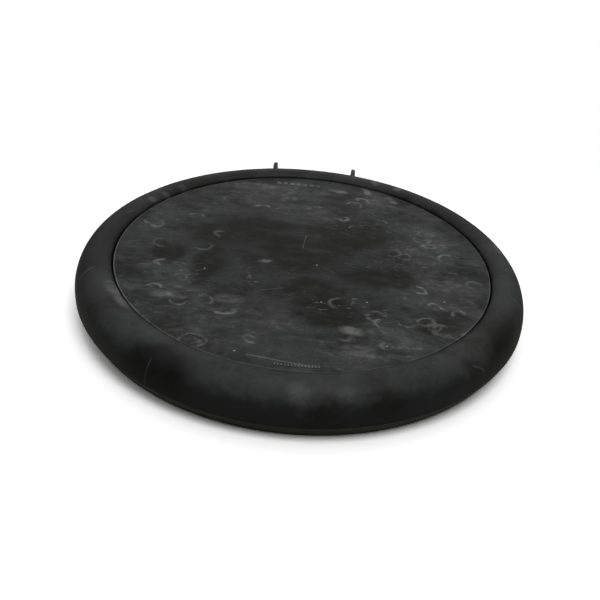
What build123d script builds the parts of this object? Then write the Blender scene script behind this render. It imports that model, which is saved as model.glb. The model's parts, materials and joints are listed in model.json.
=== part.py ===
from build123d import *
import os
from math import cos, radians, tan

# Round rubber practice pad with a built-in electronic trigger and a rear rod clamp.
# Millimetres. The origin is the centre of the case's flat back, +Z points out of the
# striking face and +Y points to the rear, where the rod, the cable and the guard ears are.

os.makedirs("parts", exist_ok=True)

# ---------------------------------------------------------------- driving dimensions
# Striking head
pad_radius = 90.0
pad_top = 18.4
pad_thickness = 5.0
plate_radius = 87.0
plate_thickness = 1.2
head_travel = 1.0
slot_width = 0.8

# Rim
rim_widest_radius = 107.4
rim_widest_height = 7.6
crest_radius = 96.3
crest_height = 21.5

# Case
parting_height = 7.3
case_top_radius = 107.0
base_radius = 104.6
wall = 2.2
screw_circle = 97.0
case_screw_count = 8

# Rear housing and its guard ears
rest_tilt = 3.5
housing_half_width = 27.2
housing_front = 38.0
housing_deep_start = 92.0
housing_rear = 134.0
housing_top = 5.6
ear_thickness = 2.4
ear_tip_y = 123.5
ear_tip_height = 13.9
ear_rear = 137.0

# Rod clamp
bore_radius = 5.4
bore_height = -2.9
clamp_y = 116.0
stud_radius = 3.95
knob_radius = 8.5

# Output jack and polarity switch
jack_x = 15.5
jack_bore_radius = 3.3
switch_x = -16.0
switch_travel = 2.0

# ---------------------------------------------------------------- derived sizes
pad_bottom = pad_top - pad_thickness
plate_bottom = pad_bottom - plate_thickness
rim_inner_radius = pad_radius + slot_width
ledge_top = 9.7
ledge_bottom = ledge_top - 2.0
deck_top = 13.0
film_thickness = 0.3
rim_underside = deck_top + 3 * film_thickness + 0.1
plate_screw_circle = 79.0
plate_screw_count = 4
rear_wall = housing_rear - 2.4
cavity_half_width = housing_half_width - wall
cavity_top = housing_top - 1.5


def rest_height(y):
    """Height of the table plane that touches the front base edge, at the distance y."""
    return -(y + base_radius) * tan(radians(rest_tilt))


def across(y):
    """A plane across the pad at y. Its local axes are X and Z, and it faces forward."""
    return Plane.XZ.offset(-y)


def along(x):
    """A plane along the pad at x. Its local axes are Y and Z, and it faces +X."""
    return Plane.YZ.offset(x)


def level(height):
    """A horizontal plane at a height."""
    return Plane.XY.offset(height)


# ---------------------------------------------------------------- striking head
pad_edge_round = 0.4
relief = 0.3
badge_y = 80.0
badge_x = -8.3
badge_bars = 7
badge_pitch = 3.9
badge_bar_width = 2.8
badge_bar_length = 4.2
tick_radius = 86.9
tick_length = 1.3
tick_width = 0.55
tick_count = 14
tick_pitch_angle = 0.85
tick_middle_angle = -89.2

with BuildPart() as striking_pad:
    with BuildSketch(level(pad_bottom)):
        Circle(pad_radius)
    extrude(amount=pad_thickness)
    fillet(striking_pad.edges().group_by(Axis.Z)[-1], pad_edge_round)
    # A plain moulded row of bars at the far edge, and fine ticks at the near edge
    with BuildSketch(level(pad_top)):
        with Locations((badge_x, badge_y)):
            with GridLocations(badge_pitch, 1, badge_bars, 1):
                RectangleRounded(badge_bar_width, badge_bar_length, 0.9)
        first_tick = tick_middle_angle - tick_pitch_angle * (tick_count - 1) / 2
        with PolarLocations(
            tick_radius, tick_count, first_tick, tick_pitch_angle * (tick_count - 1), endpoint=True
        ):
            Rectangle(tick_length, tick_width)
    extrude(amount=relief)

boss_radius = 3.2
boss_bottom = ledge_bottom - 0.2
plate_pilot_radius = 1.65
with BuildPart() as head_plate:
    with BuildSketch(level(plate_bottom)):
        Circle(plate_radius)
    extrude(amount=plate_thickness)
    # Welded bosses reach down through the frame's ledge and take the shoulder screws
    with BuildSketch(level(boss_bottom)):
        with PolarLocations(plate_screw_circle, plate_screw_count, 45):
            Circle(boss_radius)
            Circle(plate_pilot_radius, mode=Mode.SUBTRACT)
    extrude(amount=plate_bottom - boss_bottom)

washer_thickness = 0.8
washer_radius = 6.2
washer_hole_radius = 2.1
with BuildPart() as plate_washers:
    with BuildSketch(level(boss_bottom - washer_thickness)):
        with PolarLocations(plate_screw_circle, plate_screw_count, 45):
            Circle(washer_radius)
            Circle(washer_hole_radius, mode=Mode.SUBTRACT)
    extrude(amount=washer_thickness)

plate_screw_head = 2.0
m4_head_radius = 3.5
cross_length = 3.4
cross_width = 0.8
cross_depth = 1.1
thread_gap = 0.05
with BuildPart() as plate_screws:
    with BuildSketch(level(boss_bottom - washer_thickness - plate_screw_head)):
        with PolarLocations(plate_screw_circle, plate_screw_count, 45):
            Circle(m4_head_radius)
    extrude(amount=plate_screw_head)
    fillet(plate_screws.edges().group_by(Axis.Z)[0], 0.8)
    with BuildSketch(level(boss_bottom - washer_thickness)):
        with PolarLocations(plate_screw_circle, plate_screw_count, 45):
            Circle(plate_pilot_radius - thread_gap)
    extrude(amount=washer_thickness + 4.0)
    with BuildSketch(level(boss_bottom - washer_thickness - plate_screw_head)):
        with PolarLocations(plate_screw_circle, plate_screw_count, 45):
            Rectangle(cross_length, cross_width)
            Rectangle(cross_width, cross_length)
    extrude(amount=cross_depth, mode=Mode.SUBTRACT)

cushion_outer_radius = 86.5
cushion_inner_radius = 83.0
with BuildPart() as cushion_ring:
    with BuildSketch(level(ledge_top)):
        Circle(cushion_outer_radius)
        Circle(cushion_inner_radius, mode=Mode.SUBTRACT)
    extrude(amount=plate_bottom - ledge_top)

foam_thickness = 1.0
brass_thickness = 0.3
ceramic_thickness = 0.25
foam_radius = 14.0
brass_radius = 13.5
ceramic_radius = 10.0
brass_top = plate_bottom - foam_thickness
ceramic_top = brass_top - brass_thickness
with BuildPart() as piezo_foam:
    with BuildSketch(level(brass_top)):
        Circle(foam_radius)
    extrude(amount=foam_thickness)

with BuildPart() as piezo_brass_disc:
    with BuildSketch(level(ceramic_top)):
        Circle(brass_radius)
    extrude(amount=brass_thickness)

with BuildPart() as piezo_ceramic:
    with BuildSketch(level(ceramic_top - ceramic_thickness)):
        Circle(ceramic_radius)
    extrude(amount=ceramic_thickness)

# ---------------------------------------------------------------- rim
rim_mouth_height = pad_top + 0.5
rim_skin_radius = 103.4
rim_profile_bend = 11.5
with BuildPart() as rim_rubber:
    with BuildSketch(Plane.XZ):
        with BuildLine():
            l1 = Line((rim_inner_radius, rim_underside), (rim_inner_radius, rim_mouth_height))
            l2 = Spline(l1 @ 1, (crest_radius, crest_height), tangents=[(0.55, 1), (1, 0)])
            l3 = EllipticalCenterArc(
                (crest_radius, rim_widest_height),
                rim_widest_radius - crest_radius,
                crest_height - rim_widest_height,
                start_angle=0,
                arc_size=90,
            )
            l4 = Line((rim_widest_radius, rim_widest_height), (rim_widest_radius - 0.3, parting_height))
            l5 = Line(l4 @ 1, (rim_skin_radius, parting_height))
            l6 = Line(l5 @ 1, (rim_skin_radius, rim_profile_bend))
            l7 = Line(l6 @ 1, (crest_radius + 4.0, rim_underside))
            Line(l7 @ 1, l1 @ 0)
        make_face()
    revolve(axis=Axis.Z)

film_inner_radius = 92.4
film_outer_radius = 99.6


def film_ring(bottom):
    """One printed film of the rim's membrane switch."""
    with BuildPart() as ring:
        with BuildSketch(level(bottom)):
            Circle(film_outer_radius)
            Circle(film_inner_radius, mode=Mode.SUBTRACT)
        extrude(amount=film_thickness)
    return ring


rim_switch_base_film = film_ring(deck_top)
rim_switch_top_film = film_ring(deck_top + 2 * film_thickness)
spacer_band = 1.6
with BuildPart() as rim_switch_spacer:
    with BuildSketch(level(deck_top + film_thickness)):
        Circle(film_outer_radius)
        Circle(film_outer_radius - spacer_band, mode=Mode.SUBTRACT)
        with PolarLocations((film_inner_radius + film_outer_radius) / 2, 12):
            Rectangle(film_outer_radius - film_inner_radius - spacer_band, spacer_band)
        Circle(film_inner_radius + spacer_band)
        Circle(film_inner_radius, mode=Mode.SUBTRACT)
    extrude(amount=film_thickness)

tail_angle = 45
tail_bottom = 6.0
tail_width = 4.0
with BuildPart() as rim_switch_tail:
    with BuildSketch(level(tail_bottom)):
        with PolarLocations(screw_circle, 1, tail_angle):
            Rectangle(film_thickness, tail_width)
    extrude(amount=deck_top - tail_bottom)

# ---------------------------------------------------------------- upper frame
ledge_inner_radius = 74.0
riser_outer_radius = 93.4
riser_inner_radius = 91.4
frame_chamfer = 1.4
skirt_inner_radius = 100.8
skirt_outer_radius = 102.9
deck_bottom = deck_top - 2.0
frame_boss_bottom = 5.2
frame_pilot_radius = 1.25
frame_boss_radius = 3.2
plate_boss_hole_radius = 4.4
case_screw_start = 22.5
with BuildPart() as upper_frame:
    with BuildSketch(Plane.XZ):
        with BuildLine():
            Polyline(
                (ledge_inner_radius, ledge_bottom),
                (riser_outer_radius, ledge_bottom),
                (riser_outer_radius, deck_bottom),
                (skirt_inner_radius, deck_bottom),
                (skirt_inner_radius, parting_height),
                (skirt_outer_radius, parting_height),
                (skirt_outer_radius, deck_top - frame_chamfer),
                (skirt_outer_radius - frame_chamfer, deck_top),
                (riser_inner_radius, deck_top),
                (riser_inner_radius, ledge_top),
                (ledge_inner_radius, ledge_top),
                close=True,
            )
        make_face()
    revolve(axis=Axis.Z)
    with BuildSketch(level(frame_boss_bottom)):
        with PolarLocations(screw_circle, case_screw_count, case_screw_start):
            Circle(frame_boss_radius)
    extrude(amount=deck_bottom - frame_boss_bottom)
    # Pilot holes for the case screws, ledge holes for the plate's bosses, the film tail's slot
    with BuildSketch(level(frame_boss_bottom)):
        with PolarLocations(screw_circle, case_screw_count, case_screw_start):
            Circle(frame_pilot_radius)
    extrude(amount=6.0, mode=Mode.SUBTRACT)
    with BuildSketch(level(ledge_bottom)):
        with PolarLocations(plate_screw_circle, plate_screw_count, 45):
            Circle(plate_boss_hole_radius)
    extrude(amount=ledge_top - ledge_bottom, mode=Mode.SUBTRACT)
    with BuildSketch(level(deck_bottom)):
        with PolarLocations(screw_circle, 1, tail_angle):
            Rectangle(1.4, tail_width + 1.0)
    extrude(amount=deck_top - deck_bottom, mode=Mode.SUBTRACT)

# ---------------------------------------------------------------- bottom case
ear_foot_y = 108.5
edge_round = 1.0
with BuildPart() as guard_ear:
    with BuildSketch(along(housing_half_width - ear_thickness)):
        with BuildLine():
            e1 = Line((ear_foot_y, rest_height(ear_foot_y)), (ear_foot_y, 4.0))
            e2 = Line(e1 @ 1, (ear_tip_y - 4.2, ear_tip_height - 2.0))
            e3 = ThreePointArc(e2 @ 1, (ear_tip_y, ear_tip_height), (ear_tip_y + 4.2, ear_tip_height - 2.0))
            e4 = Line(e3 @ 1, (ear_rear, 0.0))
            e5 = Line(e4 @ 1, (ear_rear, -9.0))
            e6 = Line(e5 @ 1, (housing_rear - 1.0, rest_height(housing_rear - 1.0)))
            Line(e6 @ 1, e1 @ 0)
        make_face()
    extrude(amount=ear_thickness)
    outer_edges = guard_ear.faces().sort_by(Axis.X)[-1].edges().sort_by(Axis.Y)
    fillet(outer_edges[1:], edge_round)

housing_corner = 3.0
facet_wall = 2.3
stud_hole_radius = 4.6
jack_hole_radius = 4.7
collar_radius = 7.5
counterbore_radius = 3.1
counterbore_depth = 2.4
case_boss_radius = 3.9
case_screw_hole_radius = 1.7
standoff_radius = 3.0
standoff_pilot_radius = 1.05
lug_screw_radius = 1.7
lug_floor_hole_radius = 2.2
lug_counterbore_radius = 4.0
outside = 5.0
lug_x = 13.2
lug_y = 98.0
standoff_height = 5.2
board_x = 46.0
board_y = 24.0
board_screw_x = 12.0
with BuildPart() as bottom_case:
    # Rear housing: a wedge whose underside lies on the table plane
    with BuildSketch(along(-housing_half_width)):
        with BuildLine():
            Polyline(
                (housing_front, 1.0),
                (housing_front, 0.0),
                (housing_deep_start, rest_height(housing_deep_start)),
                (housing_rear, rest_height(housing_rear)),
                (housing_rear, housing_top),
                (100.0, housing_top),
                (100.0, 1.0),
                close=True,
            )
        make_face()
    extrude(amount=2 * housing_half_width)
    for side in bottom_case.faces().filter_by(Axis.X):
        fillet(side.edges().sort_by(Axis.Z)[:2], edge_round)
    fillet(bottom_case.edges().filter_by(Axis.X).group_by(Axis.Y)[-1], housing_corner)
    add(guard_ear.part)
    mirror(guard_ear.part, about=Plane.YZ)
    # Round shell: floor, curved band and the rib that carries the upper frame
    with BuildSketch(Plane.XZ):
        with BuildLine():
            b1 = Line((0, 0), (base_radius - 1.6, 0))
            b2 = Spline(b1 @ 1, (base_radius, 1.4), tangents=[(1, 0), (0.35, 1)])
            b3 = Spline(b2 @ 1, (case_top_radius, parting_height - 0.6), tangents=[(0.35, 1), (0.25, 1)])
            b4 = Line(b3 @ 1, (case_top_radius - 0.5, parting_height - 0.1))
            b5 = Line(b4 @ 1, (case_top_radius - wall, parting_height - 0.1))
            b6 = Line(b5 @ 1, (base_radius - wall, wall))
            b7 = Line(b6 @ 1, (0, wall))
            Line(b7 @ 1, b1 @ 0)
        make_face()
        with BuildLine():
            Polyline(
                (skirt_inner_radius + 0.2, wall),
                (skirt_outer_radius - 0.6, wall),
                (skirt_outer_radius - 0.6, parting_height - 0.05),
                (skirt_inner_radius + 0.2, parting_height - 0.05),
                close=True,
            )
        make_face()
    revolve(axis=Axis.Z)
    # Cavity of the housing, open into the round shell
    with BuildSketch(along(-cavity_half_width)):
        with BuildLine():
            Polyline(
                (housing_front + 2.0, 2.6),
                (housing_front + 2.0, 2.0),
                (housing_deep_start, rest_height(housing_deep_start) + facet_wall),
                (rear_wall, rest_height(rear_wall) + facet_wall),
                (rear_wall, cavity_top),
                (92.5, cavity_top),
                (92.5, 2.6),
                close=True,
            )
        make_face()
    extrude(amount=2 * cavity_half_width, mode=Mode.SUBTRACT)
    # Screw bosses, counterbored from below
    with BuildSketch(level(wall)):
        with PolarLocations(screw_circle, case_screw_count, case_screw_start):
            Circle(case_boss_radius)
    extrude(amount=frame_boss_bottom - 0.1 - wall)
    with Locations(Plane.XY.rotated((180, 0, 0))):
        with PolarLocations(screw_circle, case_screw_count, case_screw_start):
            CounterBoreHole(
                case_screw_hole_radius, counterbore_radius, counterbore_depth, depth=frame_boss_bottom
            )
    # Standoffs for the terminal board
    with BuildSketch(level(wall)):
        with Locations((board_x - board_screw_x, board_y), (board_x + board_screw_x, board_y)):
            Circle(standoff_radius)
    extrude(amount=standoff_height - wall)
    with BuildSketch(level(wall + 0.6)):
        with Locations((board_x - board_screw_x, board_y), (board_x + board_screw_x, board_y)):
            Circle(standoff_pilot_radius)
    extrude(amount=standoff_height, mode=Mode.SUBTRACT)
    # Openings in the rear wall: rod collar, jack bush, switch slot
    with BuildSketch(across(ear_rear + outside)):
        with Locations((0, bore_height)):
            Circle(collar_radius + 0.2)
        with Locations((jack_x, bore_height)):
            Circle(jack_hole_radius)
        with Locations((switch_x, bore_height)):
            Rectangle(switch_travel + 2.8, 3.0)
    extrude(amount=ear_rear + outside - rear_wall + 2, mode=Mode.SUBTRACT)
    # Stud hole in the left wall
    with BuildSketch(along(-housing_half_width - outside)):
        with Locations((clamp_y, bore_height)):
            Circle(stud_hole_radius)
    extrude(amount=outside + ear_thickness + 3, mode=Mode.SUBTRACT)
    # Counterbored holes for the sleeve's screws
    with BuildSketch(level(rest_height(housing_rear) - outside)):
        with Locations((-lug_x, lug_y), (lug_x, lug_y)):
            Circle(lug_floor_hole_radius)
    extrude(amount=12, mode=Mode.SUBTRACT)
    with BuildSketch(level(rest_height(housing_rear) - outside)):
        with Locations((-lug_x, lug_y), (lug_x, lug_y)):
            Circle(lug_counterbore_radius)
    extrude(amount=outside + 3.4, mode=Mode.SUBTRACT)

screw_head_height = 1.9
screw_head_top = counterbore_depth
m3_head_radius = 2.75
small_cross_length = 2.8
small_cross_width = 0.6
case_screw_length = 8.0
with BuildPart() as case_screws:
    with BuildSketch(level(screw_head_top - screw_head_height)):
        with PolarLocations(screw_circle, case_screw_count, case_screw_start):
            Circle(m3_head_radius)
    extrude(amount=screw_head_height)
    fillet(case_screws.edges().group_by(Axis.Z)[0], 0.7)
    with BuildSketch(level(screw_head_top)):
        with PolarLocations(screw_circle, case_screw_count, case_screw_start):
            Circle(frame_pilot_radius - thread_gap)
    extrude(amount=case_screw_length)
    with BuildSketch(level(screw_head_top - screw_head_height)):
        with PolarLocations(screw_circle, case_screw_count, case_screw_start):
            Rectangle(small_cross_length, small_cross_width)
            Rectangle(small_cross_width, small_cross_length)
    extrude(amount=1.0, mode=Mode.SUBTRACT)

# ---------------------------------------------------------------- rod clamp
sleeve_front = 93.0
sleeve_shoulder = rear_wall - 0.1
collar_end = 135.6
sleeve_half_width = 8.2
sleeve_bottom = bore_height - bore_radius - 1.4
sleeve_top = bore_height + bore_radius + 1.4
lug_height = 4.5
cross_bore_radius = 4.0
side_boss_end = -15.0
side_boss_radius = 6.4
lug_width = 9.0
with BuildPart() as rod_sleeve:
    with BuildSketch(across(sleeve_shoulder)):
        with Locations((0, bore_height)):
            RectangleRounded(2 * sleeve_half_width, sleeve_top - sleeve_bottom, 2.0)
    extrude(amount=sleeve_shoulder - sleeve_front)
    with BuildSketch(across(collar_end)):
        with Locations((0, bore_height)):
            Circle(collar_radius)
    extrude(amount=collar_end - sleeve_shoulder)
    chamfer(rod_sleeve.edges().filter_by(GeomType.CIRCLE).group_by(Axis.Y)[-1], 0.6)
    # Threaded side boss for the clamp stud
    with BuildSketch(along(side_boss_end)):
        with Locations((clamp_y, bore_height)):
            Circle(side_boss_radius)
    extrude(amount=-side_boss_end - sleeve_half_width + 1)
    # Lugs that screw down to the housing floor
    with BuildSketch(level(sleeve_bottom)):
        with Locations((0, lug_y)):
            SlotOverall(2 * lug_x + lug_width, lug_width)
    extrude(amount=lug_height)
    with BuildSketch(level(sleeve_bottom)):
        with Locations((-lug_x, lug_y), (lug_x, lug_y)):
            Circle(lug_screw_radius)
    extrude(amount=lug_height, mode=Mode.SUBTRACT)
    with BuildSketch(across(collar_end)):
        with Locations((0, bore_height)):
            Circle(bore_radius)
    extrude(amount=collar_end - sleeve_front, mode=Mode.SUBTRACT)
    with BuildSketch(along(side_boss_end)):
        with Locations((clamp_y, bore_height)):
            Circle(cross_bore_radius)
    extrude(amount=-side_boss_end, mode=Mode.SUBTRACT)

sleeve_screw_head_top = rest_height(housing_rear) + 3.2
sleeve_screw_head = 2.2
with BuildPart() as sleeve_screws:
    with BuildSketch(level(sleeve_screw_head_top - sleeve_screw_head)):
        with Locations((-lug_x, lug_y), (lug_x, lug_y)):
            Circle(m4_head_radius)
    extrude(amount=sleeve_screw_head)
    fillet(sleeve_screws.edges().group_by(Axis.Z)[0], 0.8)
    with BuildSketch(level(sleeve_screw_head_top)):
        with Locations((-lug_x, lug_y), (lug_x, lug_y)):
            Circle(lug_screw_radius - thread_gap)
    extrude(amount=sleeve_bottom + lug_height - 0.5 - sleeve_screw_head_top)
    with BuildSketch(level(sleeve_screw_head_top - sleeve_screw_head)):
        with Locations((-lug_x, lug_y), (lug_x, lug_y)):
            Rectangle(cross_length, cross_width)
            Rectangle(cross_width, cross_length)
    extrude(amount=cross_depth, mode=Mode.SUBTRACT)

shoe_face = -bore_radius - 0.2
shoe_thickness = 2.1
stud_tip = shoe_face - shoe_thickness - 0.05
knob_inner = -28.7
knob_length = 12.0
stud_outer = knob_inner - 8.0
with BuildPart() as clamp_shoe:
    with BuildSketch(along(shoe_face - shoe_thickness)):
        with Locations((clamp_y, bore_height)):
            Circle(cross_bore_radius - 0.1)
    extrude(amount=shoe_thickness)
    chamfer(clamp_shoe.edges().group_by(Axis.X)[-1], 0.4)

with BuildPart() as clamp_stud:
    with BuildSketch(along(stud_outer)):
        with Locations((clamp_y, bore_height)):
            Circle(stud_radius)
    extrude(amount=stud_tip - stud_outer)
    chamfer(clamp_stud.edges().group_by(Axis.X)[-1], 0.6)

flute_count = 7
flute_radius = 2.9
knob_neck_radius = 6.2
knob_neck_length = 2.5
knob_press_gap = 0.02
with BuildPart() as clamp_knob:
    with BuildSketch(along(knob_inner - knob_length)):
        with Locations((clamp_y, bore_height)):
            Circle(knob_radius)
            with PolarLocations(knob_radius + 1.6, flute_count):
                Circle(flute_radius, mode=Mode.SUBTRACT)
    extrude(amount=knob_length - knob_neck_length)
    fillet(clamp_knob.edges().group_by(Axis.X)[0], 0.8)
    with BuildSketch(along(knob_inner - knob_neck_length)):
        with Locations((clamp_y, bore_height)):
            Circle(knob_neck_radius)
    extrude(amount=knob_neck_length)
    with BuildSketch(along(stud_outer)):
        with Locations((clamp_y, bore_height)):
            Circle(stud_radius + knob_press_gap)
    extrude(amount=knob_inner - stud_outer, mode=Mode.SUBTRACT)

# ---------------------------------------------------------------- output jack
jack_body_front = 106.0
jack_body_rear = rear_wall - 1.4
jack_width = 11.0
jack_height = 12.0
channel_width = 8.0
channel_floor = 1.4
channel_rear = jack_body_rear - 2.0
bush_radius = 4.5
bush_end = 136.9
with BuildPart() as jack_body:
    with BuildSketch(across(jack_body_rear)):
        with Locations((jack_x, bore_height)):
            RectangleRounded(jack_width, jack_height, 0.8)
    extrude(amount=jack_body_rear - jack_body_front)
    # Contact channel, open at the front and at the top
    with BuildSketch(across(channel_rear)):
        with Locations((jack_x, bore_height + channel_floor / 2)):
            Rectangle(channel_width, jack_height - channel_floor)
    extrude(amount=channel_rear - jack_body_front, mode=Mode.SUBTRACT)
    with BuildSketch(across(jack_body_rear)):
        with Locations((jack_x, bore_height)):
            Circle(bush_radius)
    extrude(amount=jack_body_rear - channel_rear, mode=Mode.SUBTRACT)

with BuildPart() as jack_bush:
    with BuildSketch(across(bush_end)):
        with Locations((jack_x, bore_height)):
            Circle(bush_radius)
            Circle(jack_bore_radius, mode=Mode.SUBTRACT)
    extrude(amount=bush_end - channel_rear)
    chamfer(jack_bush.edges().group_by(Axis.Y)[-1], 0.4)

washer_end = housing_rear + 0.4
jack_nut_radius = 6.3
jack_nut_thickness = 1.8
bush_gap = 0.05
with BuildPart() as jack_washer:
    with BuildSketch(across(washer_end)):
        with Locations((jack_x, bore_height)):
            Circle(jack_nut_radius)
            Circle(bush_radius + bush_gap, mode=Mode.SUBTRACT)
    extrude(amount=washer_end - housing_rear)

with BuildPart() as jack_nut:
    with BuildSketch(across(washer_end + jack_nut_thickness)):
        with Locations((jack_x, bore_height)):
            RegularPolygon(jack_nut_radius, 6)
            Circle(bush_radius + bush_gap, mode=Mode.SUBTRACT)
    extrude(amount=jack_nut_thickness)

contact_thickness = 0.4
contact_width = 3.0


def jack_contact(x, points):
    """A bent spring strip inside the jack, drawn in Y and Z at x."""
    with BuildPart() as strip:
        with BuildSketch(along(x - contact_width / 2)):
            with BuildLine():
                Polyline(*points)
            trace(line_width=contact_thickness)
        extrude(amount=contact_width)
    return strip


contact_tail = 103.2
plug_clear = jack_bore_radius + contact_thickness
top_rest = bore_height + 5.2
low_rest = bore_height - 4.0
jack_tip_contact = jack_contact(
    jack_x,
    [
        (contact_tail, top_rest),
        (107.0, top_rest),
        (109.5, bore_height + plug_clear),
        (112.0, top_rest),
    ],
)
jack_ring_contact = jack_contact(
    jack_x + 2.0,
    [
        (contact_tail, low_rest),
        (114.5, low_rest),
        (116.5, bore_height - plug_clear),
        (118.5, low_rest),
    ],
)
jack_sleeve_contact = jack_contact(
    jack_x - 2.0,
    [
        (contact_tail, low_rest),
        (121.5, low_rest),
        (123.5, bore_height - plug_clear),
        (125.5, low_rest),
    ],
)

# ---------------------------------------------------------------- polarity switch
switch_front = rear_wall - 5.6
switch_rear = rear_wall - 0.1
slider_rest_x = switch_x - switch_travel / 2
slider_end = housing_rear + 0.8
slider_float = 0.6
switch_pocket_depth = 3.5
with BuildPart() as polarity_switch_body:
    with BuildSketch(across(switch_rear)):
        with Locations((switch_x, bore_height)):
            Rectangle(9.0, 6.0)
    extrude(amount=switch_rear - switch_front)
    with BuildSketch(across(switch_rear)):
        with Locations((switch_x, bore_height)):
            Rectangle(switch_travel + 4.4, 3.2)
    extrude(amount=switch_pocket_depth, mode=Mode.SUBTRACT)

with BuildPart() as polarity_slider:
    with BuildSketch(across(switch_rear - slider_float)):
        with Locations((slider_rest_x, bore_height)):
            Rectangle(4.0, 3.0)
    extrude(amount=2.6)
    with BuildSketch(across(slider_end)):
        with Locations((slider_rest_x, bore_height)):
            Rectangle(2.2, 2.6)
    extrude(amount=slider_end - switch_rear + slider_float)
    fillet(polarity_slider.edges().group_by(Axis.Y)[-1], 0.3)

# ---------------------------------------------------------------- terminal board and wiring
board_length = 34.0
board_depth = 24.0
board_thickness = 1.6
board_top = standoff_height + board_thickness
connector_count = 4
connector_pitch = 8.2
connector_y = board_y + 6.0
connector_height = 2.4
connector_width = 7.4
connector_depth = 5.0
connector_wall = 0.8
connector_floor = 1.0
plug_gap = 0.1
board_screw_head_radius = 2.2
board_screw_head = 1.4
with BuildPart() as terminal_board:
    with BuildSketch(level(standoff_height)):
        with Locations((board_x, board_y)):
            RectangleRounded(board_length, board_depth, 1.5)
        with Locations((board_x - board_screw_x, board_y), (board_x + board_screw_x, board_y)):
            Circle(1.3, mode=Mode.SUBTRACT)
    extrude(amount=board_thickness)

with BuildPart() as board_screws:
    with BuildSketch(level(board_top)):
        with Locations((board_x - board_screw_x, board_y), (board_x + board_screw_x, board_y)):
            Circle(board_screw_head_radius)
    extrude(amount=board_screw_head)
    fillet(board_screws.edges().group_by(Axis.Z)[-1], 0.5)
    with BuildSketch(level(wall + 1.0)):
        with Locations((board_x - board_screw_x, board_y), (board_x + board_screw_x, board_y)):
            Circle(standoff_pilot_radius - thread_gap)
    extrude(amount=board_top - wall - 1.0)

with BuildPart() as board_connectors:
    with BuildSketch(level(board_top)):
        with Locations((board_x, connector_y)):
            with GridLocations(connector_pitch, 1, connector_count, 1):
                Rectangle(connector_width, connector_depth)
    extrude(amount=connector_height)
    with BuildSketch(level(board_top + connector_floor)):
        with Locations((board_x, connector_y)):
            with GridLocations(connector_pitch, 1, connector_count, 1):
                Rectangle(connector_width - 2 * connector_wall, connector_depth - 2 * connector_wall)
    extrude(amount=connector_height, mode=Mode.SUBTRACT)

plug_bottom = board_top + connector_floor + 0.05
plug_top = board_top + connector_height + 0.6
with BuildPart() as wire_plugs:
    with BuildSketch(level(plug_bottom)):
        with Locations((board_x, connector_y)):
            with GridLocations(connector_pitch, 1, connector_count, 1):
                Rectangle(
                    connector_width - 2 * (connector_wall + plug_gap),
                    connector_depth - 2 * (connector_wall + plug_gap),
                )
    extrude(amount=plug_top - plug_bottom)

wire_radius = 0.5
wire_end_height = plug_top + wire_radius + 0.2
wire_over_height = board_top + connector_height + wire_radius + 0.3


def wire_bundle(offsets, points):
    """Wires that run side by side: each offset shifts the whole path."""
    with BuildPart() as bundle:
        for dx, dy in offsets:
            path = Spline(*[(x + dx, y + dy, z) for x, y, z in points], mode=Mode.PRIVATE)
            with BuildSketch(Plane(origin=path @ 0, z_dir=path % 0)):
                Circle(wire_radius)
            sweep(path=path)
    return bundle


def plug_x(number):
    """Where a plug stands along the board, counted from the left."""
    return board_x + connector_pitch * (number - (connector_count - 1) / 2)


piezo_wires = wire_bundle(
    [(-0.6, 0.6), (0.6, -0.6)],
    [
        (4.0, 0.0, 8.3),
        (14.0, 4.0, 5.0),
        (22.0, 14.0, 5.6),
        (27.0, 26.0, wire_over_height - 0.4),
        (plug_x(0) - 1.0, connector_y, wire_end_height),
    ],
)
switch_wires = wire_bundle(
    [(-0.75, -0.75), (0.75, 0.75)],
    [
        (switch_x, switch_front - 1.6, bore_height + 1.6),
        (switch_x - 2.0, clamp_y + 4.0, 2.6),
        (switch_x - 2.0, clamp_y - 8.0, 2.6),
        (switch_x + 1.0, 86.0, 1.0),
        (4.0, 66.0, 4.0),
        (32.0, 46.0, 6.0),
        (plug_x(1) - 0.8, connector_y + 5.0, wire_over_height),
        (plug_x(1) - 0.4, connector_y + 0.6, wire_end_height),
    ],
)
jack_wires = wire_bundle(
    [(-1.1, -1.1), (0, 0), (1.1, 1.1)],
    [
        (jack_x, contact_tail - 2.4, bore_height),
        (jack_x + 1.0, 88.0, 0.0),
        (jack_x + 12.0, 66.0, 4.4),
        (plug_x(2) - 5.0, connector_y + 14.0, 6.0),
        (plug_x(2) - 0.4, connector_y + 5.5, wire_over_height),
        (plug_x(2), connector_y + 0.6, wire_end_height),
    ],
)
tail_foot = screw_circle * cos(radians(tail_angle)) - 1.2
rim_switch_wires = wire_bundle(
    [(-0.7, 0), (0.7, 0)],
    [
        (tail_foot, tail_foot, tail_bottom - 0.7),
        (64.0, 58.0, 4.0),
        (plug_x(3) + 3.0, connector_y + 13.0, 5.6),
        (plug_x(3) + 0.4, connector_y + 5.5, wire_over_height),
        (plug_x(3), connector_y + 0.6, wire_end_height),
    ],
)

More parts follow.
